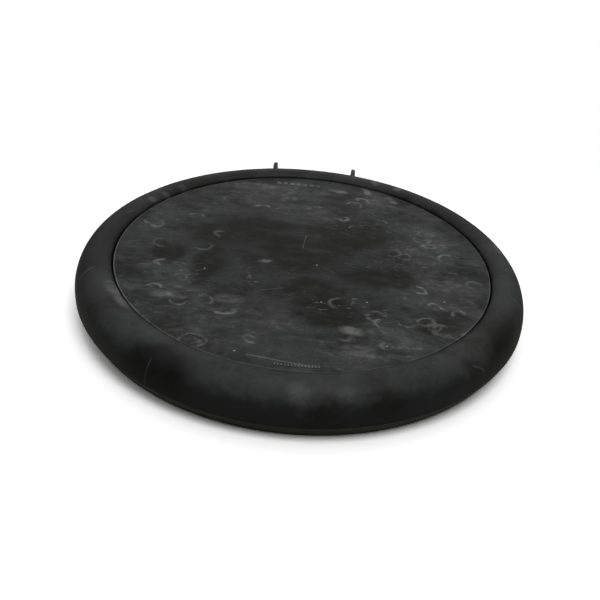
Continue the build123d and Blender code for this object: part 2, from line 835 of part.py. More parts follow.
# ---------------------------------------------------------------- labels and files
pieces = {
    "striking_pad": striking_pad,
    "head_plate": head_plate,
    "plate_washers": plate_washers,
    "plate_screws": plate_screws,
    "cushion_ring": cushion_ring,
    "piezo_foam": piezo_foam,
    "piezo_brass_disc": piezo_brass_disc,
    "piezo_ceramic": piezo_ceramic,
    "rim_rubber": rim_rubber,
    "rim_switch_top_film": rim_switch_top_film,
    "rim_switch_spacer": rim_switch_spacer,
    "rim_switch_base_film": rim_switch_base_film,
    "rim_switch_tail": rim_switch_tail,
    "upper_frame": upper_frame,
    "bottom_case": bottom_case,
    "case_screws": case_screws,
    "rod_sleeve": rod_sleeve,
    "sleeve_screws": sleeve_screws,
    "clamp_shoe": clamp_shoe,
    "clamp_stud": clamp_stud,
    "clamp_knob": clamp_knob,
    "jack_body": jack_body,
    "jack_bush": jack_bush,
    "jack_washer": jack_washer,
    "jack_nut": jack_nut,
    "jack_tip_contact": jack_tip_contact,
    "jack_ring_contact": jack_ring_contact,
    "jack_sleeve_contact": jack_sleeve_contact,
    "polarity_switch_body": polarity_switch_body,
    "polarity_slider": polarity_slider,
    "terminal_board": terminal_board,
    "board_screws": board_screws,
    "board_connectors": board_connectors,
    "wire_plugs": wire_plugs,
    "piezo_wires": piezo_wires,
    "rim_switch_wires": rim_switch_wires,
    "switch_wires": switch_wires,
    "jack_wires": jack_wires,
}
for label, piece in pieces.items():
    piece.part.label = label
    export_step(piece.part, f"parts/{label}.step")
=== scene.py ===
import json
import math
import random

import bmesh
import bpy
from mathutils import Matrix, Vector
from mathutils import noise as noise_lib


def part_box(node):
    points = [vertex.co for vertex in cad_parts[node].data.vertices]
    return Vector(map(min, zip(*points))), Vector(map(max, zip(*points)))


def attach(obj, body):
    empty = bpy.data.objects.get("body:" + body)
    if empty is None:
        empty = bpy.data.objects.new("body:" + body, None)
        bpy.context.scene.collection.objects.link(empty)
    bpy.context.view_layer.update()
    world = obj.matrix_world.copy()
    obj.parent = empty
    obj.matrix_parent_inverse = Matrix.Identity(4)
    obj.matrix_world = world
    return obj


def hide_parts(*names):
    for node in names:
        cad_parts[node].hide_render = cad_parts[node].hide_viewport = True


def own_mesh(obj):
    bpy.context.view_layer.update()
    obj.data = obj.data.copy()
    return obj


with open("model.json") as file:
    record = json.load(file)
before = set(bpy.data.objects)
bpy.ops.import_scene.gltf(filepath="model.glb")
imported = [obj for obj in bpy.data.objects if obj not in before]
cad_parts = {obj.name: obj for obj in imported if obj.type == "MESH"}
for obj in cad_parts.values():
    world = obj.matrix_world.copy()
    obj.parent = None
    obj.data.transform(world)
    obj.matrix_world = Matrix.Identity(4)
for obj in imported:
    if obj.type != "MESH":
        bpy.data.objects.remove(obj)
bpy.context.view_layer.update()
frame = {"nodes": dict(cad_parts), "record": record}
nodes = frame["nodes"]
mounts = {m["name"]: m for m in frame["record"]["mounts"]}

# Everything is in metres. The pad's axis is Z, the rear is +Y, the case's flat back is z = 0.
MM = 0.001
PAD_LOW, PAD_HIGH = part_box("striking_pad")
RIM_LOW, RIM_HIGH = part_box("rim_rubber")
PAD_RADIUS = PAD_HIGH.x
RELIEF = 0.3 * MM
PAD_TOP = PAD_HIGH.z - RELIEF
PAD_EDGE_ROUND = 0.45 * MM
BADGE_BARS, BADGE_PITCH = 7, 3.9 * MM
BADGE_X, BADGE_Y = -8.3 * MM, 80 * MM
BADGE_LENGTH, BADGE_WIDTH, BADGE_CORNER = 2.8 * MM, 4.2 * MM, 0.9 * MM
TICKS, TICK_PITCH_ANGLE = 14, 0.85
TICK_RADIUS, TICK_MIDDLE_ANGLE = 86.9 * MM, -89.2
TICK_LENGTH, TICK_WIDTH, TICK_CORNER = 1.3 * MM, 0.55 * MM, 0.2 * MM
RIM_RADIUS = RIM_HIGH.x
RIM_WIDEST_HEIGHT = 7.6 * MM
RIM_UNDER = 14.0 * MM
CREST_HEIGHT = RIM_HIGH.z
CREST_RADIUS = PAD_RADIUS + 6.3 * MM
SLOT_WIDTH = 0.8 * MM
MOUTH_HEIGHT = PAD_TOP + 0.5 * MM
CEILING, BACK_WALL, AMBIENT = 0.50, 0.60, 0.03
KEY_PLACE = Vector((0.14, -0.26, 0.95))
TABLE_NORMAL = -Vector(mounts["table_facet"]["axis"])
TABLE_POINT = Vector(mounts["table_facet"]["pos_m"])


# ---------------------------------------------------------------- shader graph helper
class Graph:
    """A material's node tree, built from plain calls that return sockets."""

    def __init__(self, name):
        self.material = bpy.data.materials.new(name)
        self.material.use_nodes = True
        self.tree = self.material.node_tree
        self.tree.nodes.clear()
        self.output = self.add("ShaderNodeOutputMaterial")
        self.shader = self.add("ShaderNodeBsdfPrincipled")
        self.link(self.shader.outputs[0], self.output.inputs["Surface"])
        object_place = self.add("ShaderNodeTexCoord").outputs["Object"]
        self.mm = self.vector("SCALE", object_place, scale=1 / MM)
        self.x, self.y, self.z = self.split(self.mm)

    def add(self, kind, **settings):
        node = self.tree.nodes.new(kind)
        for key, value in settings.items():
            setattr(node, key, value)
        return node

    def link(self, source, target):
        self.tree.links.new(source, target)

    def plug(self, target, value):
        if isinstance(value, bpy.types.NodeSocket):
            self.link(value, target)
        elif value is not None:
            target.default_value = value

    def math(self, operation, a, b=None, c=None, clamp=False):
        node = self.add("ShaderNodeMath", operation=operation, use_clamp=clamp)
        for target, value in zip(node.inputs, (a, b, c)):
            self.plug(target, value)
        return node.outputs[0]

    def vector(self, operation, a, b=None, scale=None):
        node = self.add("ShaderNodeVectorMath", operation=operation)
        self.plug(node.inputs[0], a)
        self.plug(node.inputs[1], b)
        if scale is not None:
            self.plug(node.inputs["Scale"], scale)
        return node.outputs["Value" if operation in ("LENGTH", "DOT_PRODUCT") else "Vector"]

    def split(self, vector):
        node = self.add("ShaderNodeSeparateXYZ")
        self.link(vector, node.inputs[0])
        return node.outputs

    def join(self, x, y, z=0.0):
        node = self.add("ShaderNodeCombineXYZ")
        for target, value in zip(node.inputs, (x, y, z)):
            self.plug(target, value)
        return node.outputs[0]

    def step(self, value, low, high, to_low=0.0, to_high=1.0):
        """value from low..high becomes to_low..to_high, clamped, with soft ends."""
        node = self.add("ShaderNodeMapRange", interpolation_type="SMOOTHSTEP")
        for target, part in zip(node.inputs, (value, low, high, to_low, to_high)):
            self.plug(target, part)
        return node.outputs[0]

    def noise(self, size, place=None, detail=4.0, roughness=0.55, warp=0.0, seed=0.0):
        """Fractal noise whose features are about `size` mm."""
        node = self.add("ShaderNodeTexNoise", noise_dimensions="3D")
        away = (seed * 31.7, -seed * 17.3, seed * 9.1)
        shifted = self.vector("ADD", self.mm if place is None else place, away)
        self.plug(node.inputs["Vector"], shifted)
        node.inputs["Scale"].default_value = 1.0 / size
        node.inputs["Detail"].default_value = detail
        node.inputs["Roughness"].default_value = roughness
        node.inputs["Distortion"].default_value = warp
        return node.outputs["Fac"]

    def turned(self, angle, stretch_x=1.0, stretch_y=1.0, shift=(0.0, 0.0, 0.0)):
        """Object millimetres turned about Z and stretched, for smears and strokes."""
        node = self.add("ShaderNodeMapping", vector_type="POINT")
        self.link(self.mm, node.inputs["Vector"])
        node.inputs["Rotation"].default_value = (0, 0, math.radians(angle))
        node.inputs["Scale"].default_value = (1 / stretch_x, 1 / stretch_y, 1)
        node.inputs["Location"].default_value = shift
        return node.outputs[0]

    def warped(self, size, amount, seed):
        """Flat face coordinates pushed about by noise, so that marks look hand-made."""
        node = self.add("ShaderNodeTexNoise", noise_dimensions="3D")
        self.plug(node.inputs["Vector"], self.vector("ADD", self.mm, (seed, seed, 0)))
        node.inputs["Scale"].default_value = 1.0 / size
        node.inputs["Detail"].default_value = 2.0
        centred = self.vector("SUBTRACT", node.outputs["Color"], (0.5, 0.5, 0.5))
        push = self.vector("SCALE", centred, scale=amount)
        x, y, _ = self.split(self.vector("ADD", self.mm, push))
        return self.join(x, y, 0.0)

    def placed(self, place, x, y, size_x, size_y, turn):
        """Coordinates measured from (x, y), turned and divided by the two sizes."""
        # Dot products rather than a Mapping node, to keep a material with many marks light to render
        offset = self.vector("SUBTRACT", place, (x, y, 0))
        c, s = math.cos(math.radians(turn)), math.sin(math.radians(turn))
        u = self.vector("DOT_PRODUCT", offset, (c / size_x, s / size_x, 0))
        v = self.vector("DOT_PRODUCT", offset, (-s / size_y, c / size_y, 0))
        return u, v

    def stick_mark(self, place, x, y, size_x, size_y, turn, facing, opening, width, strength):
        """One crescent or oval left by a stick tip.
        opening is below -1 for a closed ring and nears 1 for a short arc."""
        local = self.join(*self.placed(place, x, y, size_x, size_y, turn))
        off = self.math("ABSOLUTE", self.math("SUBTRACT", self.vector("LENGTH", local), 1.0))
        ring = self.step(off, width / min(size_x, size_y), 0.0, 0.0, strength)
        way = (math.cos(math.radians(facing)), math.sin(math.radians(facing)), 0)
        part = self.step(self.vector("DOT_PRODUCT", local, way), opening - 0.25, opening + 0.3)
        return self.math("MULTIPLY", ring, part)

    def patch(self, place, x, y, size_x, size_y, turn, soft, strength=1.0):
        """A soft oval patch: strength inside, 0 outside."""
        reach = self.vector("LENGTH", self.join(*self.placed(place, x, y, size_x, size_y, turn)))
        return self.step(reach, 1.0 + soft / 2, 1.0 - soft / 2, 0.0, strength)

    def line(self, place, x, y, length, turn, width, strength):
        """A straight scratch about (x, y)."""
        u, v = self.placed(place, x, y, 1, 1, turn)
        side = self.step(self.math("ABSOLUTE", v), width, 0.0, 0.0, strength)
        end = self.step(self.math("ABSOLUTE", u), length / 2, length / 2 - 1.0)
        return self.math("MULTIPLY", side, end)

    def most(self, parts):
        """The largest of the parts; a generator keeps only one of them waiting at a time."""
        total = None
        for part in parts:
            total = part if total is None else self.math("MAXIMUM", total, part)
        return total

    def mix(self, share, a, b):
        """a where share is 0, b where it is 1; each is a colour or a socket."""
        node = self.add("ShaderNodeMix", data_type="RGBA")
        self.plug(node.inputs[0], share)
        for target, value in ((node.inputs[6], a), (node.inputs[7], b)):
            if isinstance(value, tuple):
                value = (*value[:3], 1.0)
            self.plug(target, value)
        return node.outputs[2]

    def arcs(self, cell, radius, width, opening, seed, stretch=1.0, angle=0.0, keep=0.5):
        """Crescent stick marks: one arc in some cells of a grid of random points."""
        place = self.turned(angle, cell * stretch, cell, shift=(seed, seed * 0.7, 0))
        cells = self.add("ShaderNodeTexVoronoi", voronoi_dimensions="2D", feature="F1")
        self.link(place, cells.inputs["Vector"])
        cells.inputs["Scale"].default_value = 1.0
        local = self.vector("SUBTRACT", place, cells.outputs["Position"])
        pick, size, way = self.split(cells.outputs["Color"])
        reach = self.vector("LENGTH", local)
        wanted = self.math("MULTIPLY_ADD", size, radius * 0.6 / cell, radius * 0.7 / cell)
        off = self.math("ABSOLUTE", self.math("SUBTRACT", reach, wanted))
        ring = self.step(off, width / cell, 0.0)
        turn = self.math("MULTIPLY", way, 2 * math.pi)
        facing = self.vector("DOT_PRODUCT", self.vector("NORMALIZE", local),
                             self.join(self.math("COSINE", turn), self.math("SINE", turn)))
        open_part = self.step(facing, opening, min(opening + 0.5, 1.0))
        chosen = self.step(pick, keep, keep - 0.25)
        return self.math("MULTIPLY", self.math("MULTIPLY", ring, open_part), chosen)

    def bump(self, height, strength, distance_mm):
        node = self.add("ShaderNodeBump")
        node.inputs["Strength"].default_value = strength
        node.inputs["Distance"].default_value = distance_mm * MM
        self.link(height, node.inputs["Height"])
        self.link(node.outputs[0], self.shader.inputs["Normal"])

    def finish(self, color, roughness, specular=0.3, metallic=0.0):
        self.plug(self.shader.inputs["Base Color"], color if not isinstance(color, tuple) else (*color, 1))
        self.plug(self.shader.inputs["Roughness"], roughness)
        self.plug(self.shader.inputs["Specular IOR Level"], specular)
        self.plug(self.shader.inputs["Metallic"], metallic)
        return self.material


# ---------------------------------------------------------------- materials
CHALK_COOL = (0.118, 0.117, 0.122)
CHALK_TEAL = (0.104, 0.118, 0.115)
CHALK_BRIGHT = (0.25, 0.255, 0.25)
DISC_RUBBER = (0.0168, 0.0168, 0.0172)
DISC_WORN = (0.0062, 0.0066, 0.0044)
# The pale on the disc's edge is rubbed wear together with a painted highlight along the rounded edge
DISC_EDGE_WEAR_AND_HIGHLIGHT = (0.16, 0.165, 0.16)
# The pale on the relief tops is rubbed wear together with a painted highlight
RELIEF_WEAR_AND_HIGHLIGHT = (0.24, 0.245, 0.24)
SPECK_PALE = (0.40, 0.41, 0.40)
RIM_RUBBER = (0.0150, 0.0154, 0.0154)
RIM_WARM = (0.0108, 0.0110, 0.0092)
# Black for the rim's dark blotches and for the painted shade down its left side
RIM_BLACK_AND_SHADE = (0.004, 0.004, 0.0035)

# Places on the disc and the rim are (x, y) in millimetres from the pad's axis, and angles are in degrees.
# A patch is x, y, half length, half width, turn, softness and, where it is not 1, strength.
WORN_ISLANDS = (
    (-36, 12, 22, 12, 12, 0.8), (-20, 24, 18, 9, 8, 0.9), (-44, -20, 8, 15, -15, 0.8),
    (32, 22, 11, 12, 0, 0.9), (20, 12, 22, 8, 12, 0.9), (29, -19, 15, 8, -14, 0.8),
    (2, -34, 14, 11, 0, 0.8), (10, -50, 14, 13, 10, 0.7), (-66, -12, 10, 9, 10, 0.7),
    (44, -18, 9, 8, 0, 0.8), (-2, -8, 20, 12, 20, 1.2), (-12, 6, 16, 10, 0, 1.2),
)
PALE_CLOUDS = (
    (-16, 68, 36, 14, 4, 1.0, 0.88), (-52, 40, 20, 10, -20, 1.0, 0.46),
    (40, 58, 26, 15, -30, 1.0, 0.60), (62, 14, 17, 22, 10, 1.0, 0.50),
    (60, -30, 20, 22, 20, 1.0, 0.40), (-58, -40, 16, 18, 20, 1.0, 0.46),
    (-30, -66, 26, 15, 10, 1.0, 0.42), (28, -66, 22, 12, -8, 1.0, 0.42),
    (-72, 20, 12, 20, 0, 1.0, 0.36), (-16, -24, 14, 12, 20, 1.1, 0.34),
    (4, 44, 26, 12, 0, 1.1, 0.46),
)
CLEAR_MARKS = (
    (-26, 45), (25, 59), (30, 66), (17, 41), (-59, 27), (-76, 14), (-64, -22), (-64, -43), (-51, -51),
    (-31, -55), (-40, -77), (-18, -73), (35, -55), (59, -39), (69, -43), (53, -26), (64, 18), (71, 5),
)
SOFT_MARKS = (
    (-12, 58), (40, 40), (57, 30), (44, 7), (-70, -4), (-46, 52), (46, -52), (60, -56), (26, 30),
)
SCATTERED_MARKS = 16
# A ring is x, y and radius
RINGS = ((54, -51, 3.6), (57, -54, 3.0), (-40, -77, 5.4), (36, -70, 2.4))
SMUDGES = (
    (33, 79, 2.0, 5.0, 20, 0.9, 0.9), (47, 70, 2.0, 4.5, 30, 0.9, 0.8),
    (16, 76, 5.5, 2.2, -8, 1.0, 0.95), (22, -62, 4.5, 2.6, -10, 1.1, 0.8),
    (24, -74, 6.0, 3.2, 0, 1.2, 0.55), (-18, -12, 3.2, 1.6, 10, 1.1, 0.7),
    (-58, -47, 5.0, 3.0, 20, 1.2, 0.55), (70, -58, 2.0, 1.6, 30, 1.0, 0.8),
    (-30, -47, 6.0, 3.0, 0, 1.3, 0.5),
)
SCUFF_ZONES = (
    (34, 38, 20, 16, 0, 1.2), (44, -2, 26, 10, 8, 1.1), (-16, -26, 13, 9, 0, 1.2),
    (20, -44, 24, 8, -8, 1.1), (62, 10, 18, 24, 0, 1.1), (-54, -34, 14, 14, 0, 1.2),
)
# A scratch is x, y, length, turn, half width and strength
SCRATCHES = (
    (-1, 10, 15, 86, 0.35, 0.5), (-13, -36, 12, 18, 0.35, 0.4), (12, -16, 8, -35, 0.3, 0.35),
    (-6, -84.4, 26, -9, 0.35, 0.75),
)
SPECKS = ((-45, -24), (6, -12), (9, -43), (-23, -81), (-60, -68), (36, -70), (64, -34), (29, -40))
SPECK_RADIUS = 0.42


def worn_share(g, loose):
    """Where the rubber is worn smooth and dark by playing: soft-edged islands, 1 in their middles."""
    worn = g.most(g.patch(loose, *v) for v in WORN_ISLANDS)
    ragged = g.noise(6, g.turned(12, 1.8, 1.0), detail=6, roughness=0.7, seed=2.2)
    return g.math("MULTIPLY", worn, g.step(ragged, 0.36, 0.56, 0.55, 1.0))


def chalk_share(g, loose, cloud, wipe, wipe_two, outer, worn):
    """Chalk on the disc: broad clouds, wiping smears and fine mottle, little of it on the worn islands."""
    chalk = g.step(cloud, 0.40, 0.66)
    chalk = g.math("MULTIPLY_ADD", g.step(wipe, 0.50, 0.72), 0.55, g.math("MULTIPLY", chalk, 0.45))
    chalk = g.math("MULTIPLY_ADD", g.step(wipe_two, 0.54, 0.76), 0.45, chalk)
    chalk = g.math("MULTIPLY", chalk, g.math("MULTIPLY_ADD", outer, 0.65, 0.45))
    pale = g.most(g.patch(loose, *v) for v in PALE_CLOUDS)
    chalk = g.math("ADD", chalk, g.math("MULTIPLY", pale, g.step(wipe, 0.30, 0.62)))
    streak = g.noise(2.6, g.turned(10, 2.4, 1.0), detail=6, roughness=0.72, warp=0.7, seed=3.6)
    streaks = g.step(streak, 0.46, 0.74)
    mottle = g.step(g.noise(3.4, detail=6, roughness=0.74, seed=4.9), 0.44, 0.72)
    chalk = g.math("MULTIPLY", chalk, g.math("MULTIPLY_ADD", mottle, 0.9, 0.62))
    chalk = g.math("MULTIPLY_ADD", streaks, 0.26, chalk)
    return g.math("MULTIPLY", chalk, g.math("SUBTRACT", 1.0, g.math("MULTIPLY", worn, 0.90)))


def crescent_share(g, crisp, outer):
    """Crescents and ovals left by stick tips: the clear ones placed, the faint ones scattered."""
    rng = random.Random(11)
    places = list(CLEAR_MARKS + SOFT_MARKS)
    for _ in range(SCATTERED_MARKS):
        reach, way = rng.uniform(42, 84), rng.uniform(0, 2 * math.pi)
        places.append((reach * math.cos(way), reach * math.sin(way)))

    def arc_marks():
        for number, (x, y) in enumerate(places):
            size = rng.uniform(2.6, 4.6)
            strength = 0.95 if number < len(CLEAR_MARKS) else 0.55
            yield g.stick_mark(
                crisp, x, y, size, size * rng.uniform(0.55, 0.9),
                turn=rng.uniform(-40, 40), facing=rng.uniform(0, 360),
                opening=rng.choice((-0.6, -0.2, 0.1)), width=rng.uniform(0.8, 1.5), strength=strength,
            )

    def ring_marks():
        for x, y, size in RINGS:
            yield g.stick_mark(
                crisp, x, y, size, size * 0.8, turn=15, facing=0, opening=-1.6, width=0.9, strength=0.6
            )

    clear = g.math("MAXIMUM", g.most(arc_marks()), g.most(ring_marks()))
    faint = g.math(
        "MAXIMUM",
        g.arcs(cell=13, radius=3.4, width=0.6, opening=-0.2, seed=3.1, stretch=1.3, angle=20, keep=0.62),
        g.arcs(cell=9, radius=2.4, width=0.5, opening=0.0, seed=7.7, stretch=1.3, angle=-35, keep=0.6),
    )
    faint = g.math("MULTIPLY", faint, g.math("MULTIPLY_ADD", outer, 0.80, 0.20))
    breakup = g.step(g.noise(5, detail=4, roughness=0.7, seed=4.4), 0.36, 0.62)
    crescents = g.math("ADD", g.math("MULTIPLY", clear, 0.95), g.math("MULTIPLY", faint, 0.60))
    return g.math("MULTIPLY", crescents, g.math("MULTIPLY_ADD", breakup, 0.8, 0.2))


def scuff_share(g, loose):
    """Short scuffs, mostly right of the middle."""
    scuff = g.noise(1.5, g.turned(6, 2.6, 1.0), detail=4, roughness=0.6, seed=5.1)
    zone = g.most(g.patch(loose, *v) for v in SCUFF_ZONES)
    return g.math("MULTIPLY", g.step(scuff, 0.58, 0.72), g.math("MULTIPLY_ADD", zone, 0.62, 0.06))


def edge_wear_and_highlight(g, radius):
    """The disc's moulded edge made pale, most on the left and least at the front: partly rubbed wear, partly
    a painted highlight along the rounded edge.
    """
    rub = g.noise(11, detail=4, roughness=0.6, seed=7.4)
    side = g.step(g.x, 60, -80)
    edge_start = (PAD_RADIUS - PAD_EDGE_ROUND) / MM - 0.3
    at_edge = g.step(radius, edge_start, edge_start + 0.35)
    edge = g.math("MULTIPLY", at_edge, g.step(rub, 0.30, 0.60, 0.35, 0.95))
    edge = g.math("MULTIPLY", edge, g.step(g.z, PAD_TOP / MM - 0.8, PAD_TOP / MM - 0.35))
    edge = g.math("MULTIPLY", edge, g.math("MULTIPLY_ADD", side, 0.5, 0.45))
    return g.math("MULTIPLY", edge, g.step(g.y, -82, -50, 0.4, 1.0))


def relief_wear_and_highlight(g):
    """The tops of the bars and ticks made pale, more on the ticks at the front: partly rubbed wear, partly a
    painted highlight on the raised tops.
    """
    raised = g.step(g.z, PAD_TOP / MM + 0.10, PAD_TOP / MM + 0.24)
    rubbed = g.math("MULTIPLY", raised, g.step(g.noise(9, detail=3, seed=8.8), 0.35, 0.60, 0.6, 1.0))
    near = g.step(g.y, -70, -80)
    return g.math("MULTIPLY", rubbed, g.math("MULTIPLY_ADD", near, 0.35, 0.30))


def striking_rubber():
    """The disc: worn dark islands, chalk, stick marks, scuffs, and a pale edge and pale relief tops that are
    partly rubbed wear and partly painted highlight.
    """
    g = Graph("striking_rubber")
    flat = g.join(g.x, g.y)
    radius = g.vector("LENGTH", flat)
    face = g.step(g.z, PAD_TOP / MM - 0.5, PAD_TOP / MM - 0.15)
    loose = g.warped(17, 15, 3.0)
    crisp = g.warped(4.5, 3.0, 8.0)
    worn = worn_share(g, loose)
    cloud = g.noise(24, detail=7, roughness=0.66, seed=0.5)
    wipe = g.noise(9, g.turned(20, 2.6, 1.0), detail=6, roughness=0.68, warp=0.9, seed=1.3)
    wipe_two = g.noise(6, g.turned(-38, 2.8, 1.0), detail=5, roughness=0.66, warp=1.4, seed=2.7)
    outer = g.step(radius, 28, 80)
    chalk = chalk_share(g, loose, cloud, wipe, wipe_two, outer, worn)
    crescents = crescent_share(g, crisp, outer)
    smudges = g.most(g.patch(crisp, *v) for v in SMUDGES)
    smudges = g.math("MULTIPLY", smudges, g.step(wipe_two, 0.34, 0.60, 0.25, 1.0))
    scuffs = scuff_share(g, loose)
    scratches = g.most(g.line(flat, *v) for v in SCRATCHES)

    tint = g.step(g.noise(30, detail=3, seed=6.2), 0.42, 0.58)
    chalk_color = g.mix(tint, CHALK_COOL, CHALK_TEAL)
    bare = g.math("MAXIMUM", worn, g.step(cloud, 0.52, 0.40))
    base = g.mix(bare, DISC_RUBBER, DISC_WORN)
    color = g.mix(g.math("MULTIPLY", g.math("MULTIPLY", chalk, 0.62), face), base, chalk_color)
    lines = g.math("ADD", crescents, g.math("ADD", scuffs, scratches))
    lines = g.math("MULTIPLY", g.math("ADD", lines, smudges, clamp=True), face)
    color = g.mix(g.math("MULTIPLY", lines, 0.62), color, CHALK_BRIGHT)
    # Pale edge line: rubbed wear and a painted highlight, most on the left
    color = g.mix(edge_wear_and_highlight(g, radius), color, DISC_EDGE_WEAR_AND_HIGHLIGHT)
    # Pale relief tops: rubbed wear and a painted highlight, most on the front ticks
    color = g.mix(relief_wear_and_highlight(g), color, RELIEF_WEAR_AND_HIGHLIGHT)
    specks = g.most(g.patch(flat, x, y, SPECK_RADIUS, SPECK_RADIUS, 0, 0.8) for x, y in SPECKS)
    color = g.mix(g.math("MULTIPLY", specks, 0.6), color, SPECK_PALE)
    grain = g.noise(0.5, detail=2, seed=9.9)
    height = g.math("MULTIPLY_ADD", grain, 0.35, g.math("MULTIPLY", g.noise(7, detail=4, seed=10.2), 0.7))
    g.bump(height, 0.35, 0.12)
    rough = g.math("MULTIPLY_ADD", g.math("ADD", chalk, lines, clamp=True), 0.16, 0.56)
    rough = g.math("SUBTRACT", rough, g.math("MULTIPLY", worn, 0.06))
    return g.finish(color, rough, g.math("MULTIPLY_ADD", worn, -0.055, 0.160))


RIM_PALE = (
    (-12, -101, 42, 6, 0, 1.0, 0.42), (60, -84, 26, 8, 35, 1.0, 0.42), (-62, -80, 20, 8, -38, 1.0, 0.40),
    (101, 4, 7, 30, 0, 1.0, 0.30), (-98, -30, 6, 12, 10, 1.0, 0.34), (10, 98, 40, 6, 0, 1.0, 0.22),
)
# Dark patches on the rim: the long one down the left side is painted shade, the others are dark blotches
RIM_DARK_PATCHES_AND_SHADE = (
    (-102, -4, 16, 46, 0, 0.7), (-99, 26, 6, 12, 0, 0.8), (-50, -92, 14, 7, -25, 0.8),
    (86, -60, 10, 12, 30, 0.8), (-78, 66, 14, 8, 40, 0.9), (88, 48, 10, 18, 20, 0.9),
)
RIM_SPOTS = (
    (38, 88, 2.4, 3.0, 20, 1.1, 0.7), (51, 81, 2.4, 2.2, 20, 1.1, 0.6), (-79, 46, 2.2, 2.0, 0, 1.0, 0.4),
    (-85, 38, 2.0, 2.0, 0, 1.0, 0.35), (-73, 57, 2.0, 2.0, 0, 1.0, 0.2), (-78, -50, 3.0, 6.0, 35, 1.2, 0.7),
    (-72, -58, 2.6, 6.0, 35, 1.2, 0.6), (3, -102, 4.0, 3.0, 0, 1.3, 0.30),
    (20, -101, 3.0, 2.4, 0, 1.3, 0.22), (99, 18, 2.0, 5.0, 10, 1.2, 0.5),
)
RIM_SCRATCHES = (
    (-94, -38, 8, 38, 0.45, 0.6), (-54, -92, 7, 55, 0.3, 0.45), (96, -30, 9, -42, 0.3, 0.55),
    (102, 12, 11, -70, 0.35, 0.6), (-92, 20, 5, 60, 0.3, 0.5), (72, -76, 8, 20, 0.3, 0.3),
)


def rim_material():
    """The rim: chalky on its upper side, clean and dark lower down, with dark blotches and painted shade down
    its left side.
    """
    g = Graph("moulded_rim_rubber")
    loose = g.warped(15, 12, 5.0)
    cloud = g.noise(22, detail=7, roughness=0.66, seed=11.3)
    fine = g.noise(7, detail=6, roughness=0.68, warp=0.6, seed=12.1)
    smear = g.noise(9, g.turned(65, 2.4, 1.0), detail=5, roughness=0.65, warp=1.0, seed=13.7)
    height_edge = g.math("MULTIPLY_ADD", fine, 5.0, g.z)
    up = g.step(height_edge, 16.2, 21.5)
    chalk = g.math("MULTIPLY", g.step(cloud, 0.38, 0.64), 0.45)
    chalk = g.math("ADD", chalk, g.math("MULTIPLY", g.step(smear, 0.50, 0.74), 0.30))
    chalk = g.math("ADD", chalk, g.math("MULTIPLY", g.step(fine, 0.50, 0.72), 0.30))
    pale = g.most(g.patch(loose, *v) for v in RIM_PALE)
    chalk = g.math("ADD", chalk, g.math("MULTIPLY", pale, g.step(fine, 0.30, 0.60, 0.4, 1.0)), clamp=True)
    # Dark patches take away chalk and darken the rubber; the long one down the left side is painted shade
    dark = g.most(g.patch(loose, *v) for v in RIM_DARK_PATCHES_AND_SHADE)
    chalk = g.math("MULTIPLY", chalk, g.math("SUBTRACT", 1.0, g.math("MULTIPLY", dark, 0.8)))
    chalk = g.math("MULTIPLY", chalk, g.math("MULTIPLY_ADD", up, 0.88, 0.12))
    spots = g.most(g.patch(g.warped(4, 2.5, 6.0), *v) for v in RIM_SPOTS)
    scratches = g.most(g.line(g.join(g.x, g.y), *v) for v in RIM_SCRATCHES)
    broken = g.math("MULTIPLY", spots, g.step(fine, 0.30, 0.58, 0.25, 1.0))
    lines = g.math("ADD", broken, scratches, clamp=True)
    tint = g.step(g.noise(26, detail=3, seed=14.2), 0.42, 0.56)
    chalk_color = g.mix(tint, CHALK_COOL, CHALK_TEAL)
    base = g.mix(g.step(cloud, 0.54, 0.42), RIM_RUBBER, RIM_WARM)
    # Painted shade on the rim's left side, and the dark blotches, mixed in here
    base = g.mix(g.math("MULTIPLY", dark, 0.75), base, RIM_BLACK_AND_SHADE)
    color = g.mix(g.math("MULTIPLY", chalk, 0.33), base, chalk_color)
    color = g.mix(g.math("MULTIPLY", lines, 0.55), color, CHALK_BRIGHT)
    grain = g.noise(0.55, detail=2, seed=15.6)
    swell = g.noise(10, detail=4, seed=16.1)
    height = g.math("ADD", g.math("MULTIPLY", grain, 0.4), g.math("MULTIPLY", swell, 0.8))
    g.bump(height, 0.35, 0.12)
    return g.finish(color, g.math("MULTIPLY_ADD", chalk, 0.12, 0.50), 0.20)


def moulded_plastic(name, color, rough=0.52, grain=0.35, tint=(0.05, 0.049, 0.043), specular=0.35):
    """Injection-moulded plastic: fine spark-eroded grain, dust in broad clouds, soft wear."""
    g = Graph(name)
    dust = g.step(g.noise(16, detail=5, roughness=0.6, seed=91), 0.45, 0.72)
    flow = g.noise(40, g.turned(12, 2.0, 1.0), detail=3, seed=93)
    mixed = g.mix(g.math("MULTIPLY", dust, 0.35), color, tint)
    mixed = g.mix(g.step(flow, 0.4, 0.65, 0.0, 0.25), mixed, tuple(c * 0.6 for c in color))
    g.bump(g.noise(grain, detail=2, roughness=0.7, seed=95), 0.30, 0.08)
    return g.finish(mixed, g.math("MULTIPLY_ADD", dust, 0.14, rough), specular)


def machined_metal(name, color, rough=0.3, brush=(0.25, 8.0)):
    """Plated or cast metal with fine turned lines and faint stains."""
    g = Graph(name)
    fine, long_way = brush
    lines = g.noise(fine, g.turned(0, long_way, 1.0), detail=3, seed=101)
    stain = g.step(g.noise(5, detail=4, seed=103), 0.5, 0.75)
    mixed = g.mix(g.math("MULTIPLY", stain, 0.35), color, tuple(c * 0.55 for c in color))
    g.bump(lines, 0.15, 0.03)
    return g.finish(mixed, g.math("MULTIPLY_ADD", stain, 0.2, rough), 0.5, 1.0)


